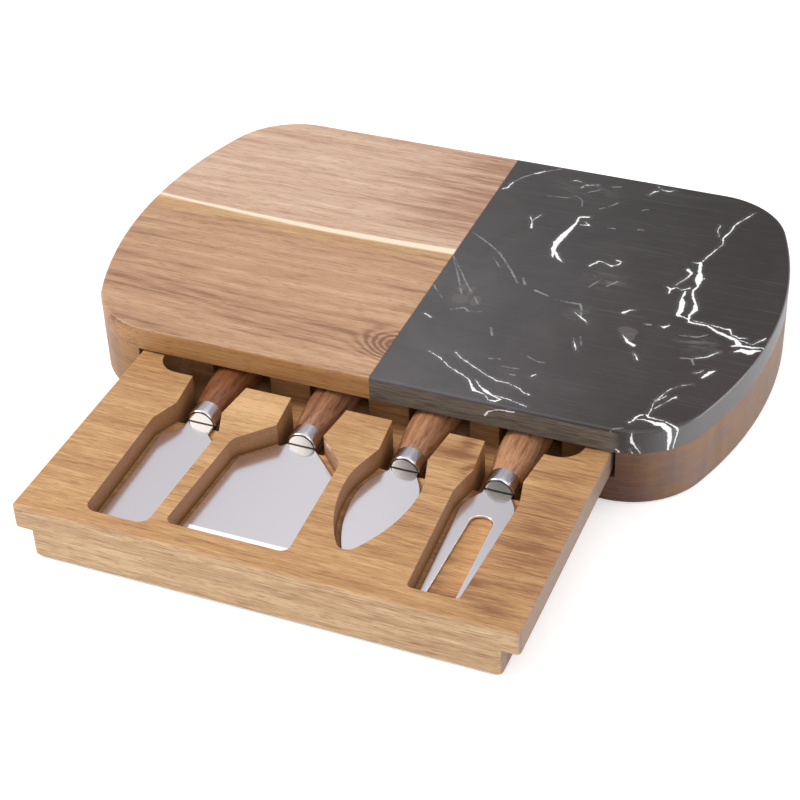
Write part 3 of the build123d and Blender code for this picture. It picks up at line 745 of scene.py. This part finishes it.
def rounded(*corners):
    """A path through corners, each given as across, along and radius: a corner with a radius
    becomes the arc that touches both its sides."""
    spots = np.array([corner[:2] for corner in corners], float)
    path = []
    for number, (across, along, radius) in enumerate(corners):
        if radius == 0 or number in (0, len(corners) - 1):
            path.append([(across, along)])
            continue
        back = spots[number - 1] - spots[number]
        ahead = spots[number + 1] - spots[number]
        back /= np.linalg.norm(back)
        ahead /= np.linalg.norm(ahead)
        half = math.acos(np.clip(back @ ahead, -1, 1)) / 2
        inwards = (back + ahead) / np.linalg.norm(back + ahead)
        middle = spots[number] + inwards * radius / math.sin(half)
        first = spots[number] + back * radius / math.tan(half) - middle
        last = spots[number] + ahead * radius / math.tan(half) - middle
        start = math.degrees(math.atan2(first[1], first[0]))
        sweep = (math.degrees(math.atan2(last[1], last[0])) - start + 180) % 360 - 180
        path.append(arc(middle, radius, start, start + sweep, 9))
    return np.concatenate(path)


tang = ((tang_half_width, nose_place - tang_length, 0), (tang_half_width, nose_place, 0),
        (neck_half_width, nose_place, 0))


def spreader_half():
    """Neck, sloping shoulder, heel and a side that narrows slowly to the square front."""
    return rounded(*tang, (neck_half_width, 7.4, 1.5), (16.2, 15.95, 3), (14.9, 39.8, 0),
                   (14.3, 90.5, 3), (0, 90.5, 0))


def plane_half():
    """Neck, wide sloping shoulder, heel and a side that flares to the chisel edge."""
    return rounded(*tang, (neck_half_width, 0.3, 0), (27.2, 19.3, 6), (29.57, 73.7, 0),
                   (29.68, plane_bevel_start, 0), (30.0, plane_length, 1.5), (0, plane_length, 0))


def almond_half():
    """Neck, then the shoulder arc and the flank arc that meet at the belly, then the tip's arc."""
    belly, belly_place = 16.3, 27.0
    shoulder_radius, flank_radius, tip_radius = 39.0, 83.3, 3.0
    shoulder_cosine = (neck_half_width - belly + shoulder_radius) / shoulder_radius
    tip_reach = math.sqrt((flank_radius - tip_radius) ** 2 - (flank_radius - belly) ** 2)
    flank_turn = math.degrees(math.atan2(tip_reach, flank_radius - belly))
    return np.concatenate([
        rounded(*tang),
        arc((belly - shoulder_radius, belly_place), shoulder_radius,
            -math.degrees(math.acos(shoulder_cosine)), 0, 24),
        arc((belly - flank_radius, belly_place), flank_radius, 0, flank_turn, 40)[1:],
        arc((0, belly_place + tip_reach), tip_radius, flank_turn, 90, 9)[1:],
    ])


def fork_half():
    """Neck, round shoulder, a long tine with a blunt tip and half of the slot between the tines."""
    shoulder, shoulder_place = 14.0, 20.0
    rise, reach = shoulder - neck_half_width, shoulder_place - 3.0
    radius = (rise**2 + reach**2) / (2 * rise)
    turn = math.degrees(math.asin(reach / radius))
    tine = rounded((shoulder, shoulder_place, 0), (10.3, 88.6, 1.1), (7.4, 88.6, 1.1),
                   (5.9, 20.3, 5.5), (0, 20.3, 0))
    return np.concatenate([
        rounded(*tang), arc((shoulder - radius, shoulder_place), radius, -turn, 0, 24), tine[1:]])


def plate(half, x, y, z, bevel_start=None, bevel_end=None, edge_thickness=None):
    """A flat plate with lightly rounded edges, from the right-hand half of its outline, across and
    along the knife, whose tip points to -Y. A ground bevel lowers the top evenly from its start
    to the front edge."""
    outline = np.concatenate([half, half[::-1] * (-1, 1)])
    spots = outline[np.linalg.norm(outline - np.roll(outline, 1, axis=0), axis=1) > 1e-6]
    side = np.roll(spots, -1, axis=0) - spots
    after = np.column_stack([side[:, 1], -side[:, 0]]) / np.linalg.norm(side, axis=1)[:, None]
    before = np.roll(after, 1, axis=0)
    mitre = (before + after) / np.clip(1 + (before * after).sum(axis=1), mitre_limit, None)[:, None]
    inset, drop = eased_edge(blade_edge_radius, 4)
    inner = blade_edge_radius + edge_flat
    insets = [inner, *inset[::-1], *inset, inner]
    heights = [0.0, *drop[::-1], *(blade_thickness - drop), blade_thickness]
    rings = []
    for step, height in zip(insets, heights):
        level = spots - mitre * step
        raised = np.full(len(level), height)
        if bevel_start is not None:
            ground = np.clip((level[:, 1] - bevel_start) / (bevel_end - bevel_start), 0, 1)
            raised = raised * (1 - ground * (1 - edge_thickness / blade_thickness))
        rings.append(np.column_stack([level[:, 0], -level[:, 1], raised - blade_thickness / 2]))
    points, faces = stack(rings)
    if bevel_start is not None:
        top = faces.pop()
        off_start = np.abs(points[top, 1] + bevel_start)
        first, last = np.flatnonzero(off_start < by_bevel_start)[[0, -1]]
        faces += [top[first:last + 1], top[last:] + top[:first + 1]]
    return points * MM + (x, y, z), faces


plane_ground = dict(bevel_start=plane_bevel_start, bevel_end=plane_length, edge_thickness=0.4)
knife_places = {}
for kind, half, ground in (
        ("spreader", spreader_half(), {}), ("plane", plane_half(), plane_ground),
        ("almond", almond_half(), {}), ("fork", fork_half(), {})):
    low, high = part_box(f"{kind}_ferrule")
    middle = ((low[0] + high[0]) / 2, low[1], (low[2] + high[2]) / 2)
    knife_places[kind] = middle
    piece(f"{kind}_steel", plate(half, *middle, **ground), blade_steel.material, kind,
          f"{kind}_blade", crease=3 if ground else 30)

# Ferrules.
# Thin stainless caps with a polished face and a satin sleeve. The face is slotted from rim to rim
# for the blade's neck; the shadow in the slot and a fine dark ring round the face, like a groove,
# are painted shade.
cap_steel = Finish("ferrule_steel", Metallic=1.0)
cap_x, _, cap_z = cap_steel.place.split()
cap_front = (-cap_steel.facing()[1]).ramp(0.55, 0.9)
off_slot = cap_z - knife_places["plane"][2]
off_axis = 1.0
for middle in knife_places.values():
    off_axis = abs(cap_x - middle[0]).math("MINIMUM", off_axis)
cap_radius = (off_axis * off_axis + off_slot * off_slot).math("SQRT")
# painted shadow in the slot, across the front of the face
slot_shadow = (1.0 - abs(off_slot).ramp(1.1 * MM, 1.55 * MM)) * cap_front
# painted shade: a fine dark ring round the face
groove_shade = 1.0 - abs(cap_radius - 7.45 * MM).ramp(0.2 * MM, 0.42 * MM)
on_face = 1.0 - cap_radius.ramp(7.1 * MM, 7.3 * MM)
cap_colour = cap_steel.mix(on_face, (0.64, 0.615, 0.65), (0.95, 0.905, 0.78))
painted_slot_and_groove_shade = slot_shadow.math("MAXIMUM", groove_shade * 0.85)
worn = cap_steel.noise(cap_steel.place, 900.0, 3.0, 0.6)
cap_steel.shade(
    Base_Color=cap_steel.mix(painted_slot_and_groove_shade, cap_colour, (0.05, 0.045, 0.042)),
    Roughness=on_face * -0.12 + 0.2, Normal=cap_steel.bump(0.05, 0.01 * MM, worn))

sleeve_radius = 8.4
bore_radius = 7.8
sleeve_length = 10.0
shoulder_radius = 1.3
flat_radius = sleeve_radius - shoulder_radius
face_crown = 0.08
slot_half_height = 0.8
rear_round = 0.2
half_turn_steps = 41


def turned(radii, depths, angles, heights=None):
    """Points by row and column, in millimetres across, back and up: circles of the radii, or ovals
    where half heights are given too, at their depths behind the ferrule's front."""
    heights = radii if heights is None else heights
    across, up = radii[:, None] * np.cos(angles), heights[:, None] * np.sin(angles)
    return np.stack([across, np.broadcast_to(depths[:, None], across.shape), up], axis=-1)


def grid_faces(index):
    """Quads between neighbouring rows and columns of a grid of point numbers."""
    corners = [index[:-1, :-1], index[:-1, 1:], index[1:, 1:], index[1:, :-1]]
    return np.stack(corners, axis=-1).reshape(-1, 4)


def wrapped(rows, columns):
    """Point numbers of a grid whose last column is its first once more."""
    index = np.arange(rows * columns).reshape(rows, columns)
    return np.column_stack([index, index[:, 0]])


def cap_face(side):
    """Half of the crowned face above or below the slot: radius by angle, where each row of the
    grid starts and ends on the slot's edge. Behind its middle lie a shallow dome, then a quarter
    round."""
    radius = np.concatenate([np.linspace(slot_half_height, flat_radius, 8),
                             np.linspace(flat_radius, bore_radius, 5)[1:]])
    start = np.arcsin(slot_half_height / radius)[:, None]
    angle = side * (start + np.linspace(0, 1, half_turn_steps) * (math.pi - 2 * start))
    beyond = np.clip(radius - flat_radius, 0, shoulder_radius)
    depth = (face_crown * np.minimum(radius / flat_radius, 1) ** 2
             + shoulder_radius - np.sqrt(shoulder_radius**2 - beyond**2))
    return turned(radius, depth, angle)


def cap():
    """Closed cap: sleeve and shoulder turned about the axis, two half faces either side of the
    slot, and the slot's upright walls down to the back of the face."""
    slot_angle = math.asin(slot_half_height / bore_radius)
    upper = np.linspace(slot_angle, math.pi - slot_angle, half_turn_steps)
    around = np.concatenate([[0.0], upper, [math.pi], upper + math.pi])
    bore_turn = math.asin((bore_radius - flat_radius) / shoulder_radius)
    turn = np.linspace(bore_turn, math.pi / 2, 9)
    back_depth = -nose_place
    radii = np.array([
        *(flat_radius + shoulder_radius * np.sin(turn)),
        sleeve_radius, sleeve_radius, sleeve_radius - rear_round, bore_radius, bore_radius])
    depths = np.array([
        *(face_crown + shoulder_radius * (1 - np.cos(turn))),
        4.0, sleeve_length - rear_round, sleeve_length, sleeve_length, back_depth])
    index = wrapped(len(radii), len(around))
    points, faces = [turned(radii, depths, around)], [grid_faces(index)]
    counted = len(radii) * len(around)
    for first in (0, len(upper) + 1):
        faces.append(grid_faces(index[[-1, 0]][:, [first - 1 if first else -2, first, first + 1]]))
    for side in (-1, 1):
        front = cap_face(side)
        back = front * (1, 0, 1) + (0, back_depth, 0)
        rows, columns = front.shape[:2]
        front_index = np.arange(rows * columns).reshape(rows, columns) + counted
        back_index = front_index + rows * columns
        both = np.stack([front_index, back_index], axis=-1)
        faces += [grid_faces(both[:, 0]), grid_faces(both[:, -1])]
        points += [front, back]
        faces += [grid_faces(front_index), grid_faces(back_index)]
        counted += 2 * rows * columns
    return np.concatenate([part.reshape(-1, 3) for part in points]), np.concatenate(faces).tolist()


cap_points, cap_faces = cap()
for kind, middle in knife_places.items():
    piece(f"{kind}_sleeve", (cap_points * MM + middle, cap_faces), cap_steel.material, kind,
          f"{kind}_ferrule", crease=35)

# Handles.
# Turned and flattened hardwood, stained red-brown and oiled: round at the ferrule, swelling to a
# full oval belly, with a domed butt. Each is slotted for its tang and glued.
handle_length = 100.4
grip_places = (10.0, 25.37, 50.68, 80.51, 100.4)
grip_half_widths = (8.3, 10.89, 12.0, 10.88, 9.5)
grip_half_heights = (8.3, 9.49, 10.0, 9.15, 8.1)
butt_round = 7.0
tenon_radius = 7.7
grip_columns = 72


def grip():
    """Oval grip by place and angle: its half width and half height are the quartics through the
    grip's five sections, less a quarter round at the butt. A round tenon stands in front."""
    butt_start = handle_length - butt_round
    place = np.concatenate([np.linspace(sleeve_length, butt_start, 48),
                            butt_start + butt_round * np.sin(np.linspace(0, math.pi / 2, 12)[1:])])
    loss = butt_round - np.sqrt(butt_round**2 - np.clip(place - butt_start, 0, butt_round) ** 2)
    halves = []
    for sizes in (grip_half_widths, grip_half_heights):
        half = np.polyval(np.polyfit(grip_places, sizes, 4), place) - loss
        halves.append(np.concatenate([[tenon_radius] * 2, half]))
    place = np.concatenate([[-nose_place, sleeve_length], place])
    angle = np.linspace(0, 2 * math.pi, grip_columns, endpoint=False)
    points = turned(halves[0], place, angle, halves[1])
    index = wrapped(len(place), grip_columns)
    ends = index[[0, -1], :-1].tolist()
    return points.reshape(-1, 3), grid_faces(index).tolist() + ends


handle_tones = {
    "spreader": ((0.25, 0.092, 0.035), (0.165, 0.053, 0.02), (0.055, 0.017, 0.008), 11.0),
    "plane": ((0.38, 0.19, 0.097), (0.25, 0.108, 0.053), (0.07, 0.027, 0.013), 12.4),
    "almond": ((0.52, 0.265, 0.137), (0.36, 0.165, 0.081), (0.11, 0.045, 0.022), 13.7),
    "fork": ((0.57, 0.3, 0.157), (0.42, 0.205, 0.101), (0.15, 0.064, 0.031), 15.2),
}
grip_points, grip_faces = grip()
for kind, middle in knife_places.items():
    *tones, seed = handle_tones[kind]
    handle_wood = acacia(
        f"{kind}_handle_wood", *tones, pith=(middle[0] / MM + 14, 0, 8), ring_width=3.4,
        seed=seed, along="Y", ring_contrast=0.18, ripple=1.35, fibre_contrast=1.3, roughness=0.38)
    piece(f"{kind}_grip", (grip_points * MM + middle, grip_faces), handle_wood, kind,
          f"{kind}_handle")

# Floor and light.
# A plain white floor, which keeps the shadow, under a white surrounding. The steel reflects pale
# panels of it, with a large soft lamp at the left and weaker ones at the front and the right.
floor_size = 6.0
floor = Finish("white_floor", Roughness=0.9, Base_Color=(0.9, 0.9, 0.9))
camera_ray = floor.add("LightPath", out="Is Camera Ray")
floor.shade(Emission_Color=(1, 1, 1), Emission_Strength=camera_ray * 0.36)
floor_corners = np.array(((-1, -1, 0), (1, -1, 0), (1, 1, 0), (-1, 1, 0))) * floor_size
floor_mesh = mesh_of("floor", floor_corners, [(0, 1, 2, 3)])
floor_mesh.materials.append(floor.material)
floor_object = add_object("floor", floor_mesh)

world = bpy.data.worlds.new("surrounding")
bpy.context.scene.world = world
world.use_nodes = True
sky = Graph(world.node_tree)
sky_x, sky_y, sky_z = sky.add("TexCoord", out="Generated").split()
left_steel = sky_x.ramp(-0.42, -0.32, 0.61, 0.74)
rear_steel = sky.between(sky_x.ramp(-0.3, -0.27), left_steel, 0.47)
rear_panel = sky.between(sky_z.ramp(0.3, 0.45), 0.8, rear_steel)
front_window = sky_x.ramp(-0.355, -0.315, 1, 0) * sky_z.ramp(0.2, 0.4)
front_panel = sky.between(front_window, 0.13, 1.15)
panels = sky.between(sky_y.ramp(-0.1, 0.1), front_panel, rear_panel)
mirrored_sky = sky.between(sky_z.ramp(0.7, 0.74), panels, 1.35)
plain_sky = sky.between(sky.add("LightPath", out="Is Camera Ray"), 0.7, 1.0)
strength = sky.between(sky.add("LightPath", out="Is Glossy Ray"), plain_sky, mirrored_sky)
sky.set(world.node_tree.nodes["Background"], {"Color": (0.96, 0.955, 0.97), "Strength": strength})


def lamp(name, place, size, power, aim=(0, 0, 0)):
    """A square soft lamp at a place, facing an aim point."""
    data = bpy.data.lights.new(name, "AREA")
    data.size = size
    data.energy = power
    add_object(name, data).matrix_world = looking(np.subtract(place, aim), place)


lamp("key_lamp", (-1.3, -0.5, 1.3), 0.7, 26)
lamp("fill_lamp", (0.9, -1.3, 1.0), 1.2, 8)
lamp("rim_lamp", (1.3, 0.5, 0.45), 0.8, 8, aim=(0.1, 0.05, 0))

bpy.context.scene.view_settings.view_transform = "Standard"
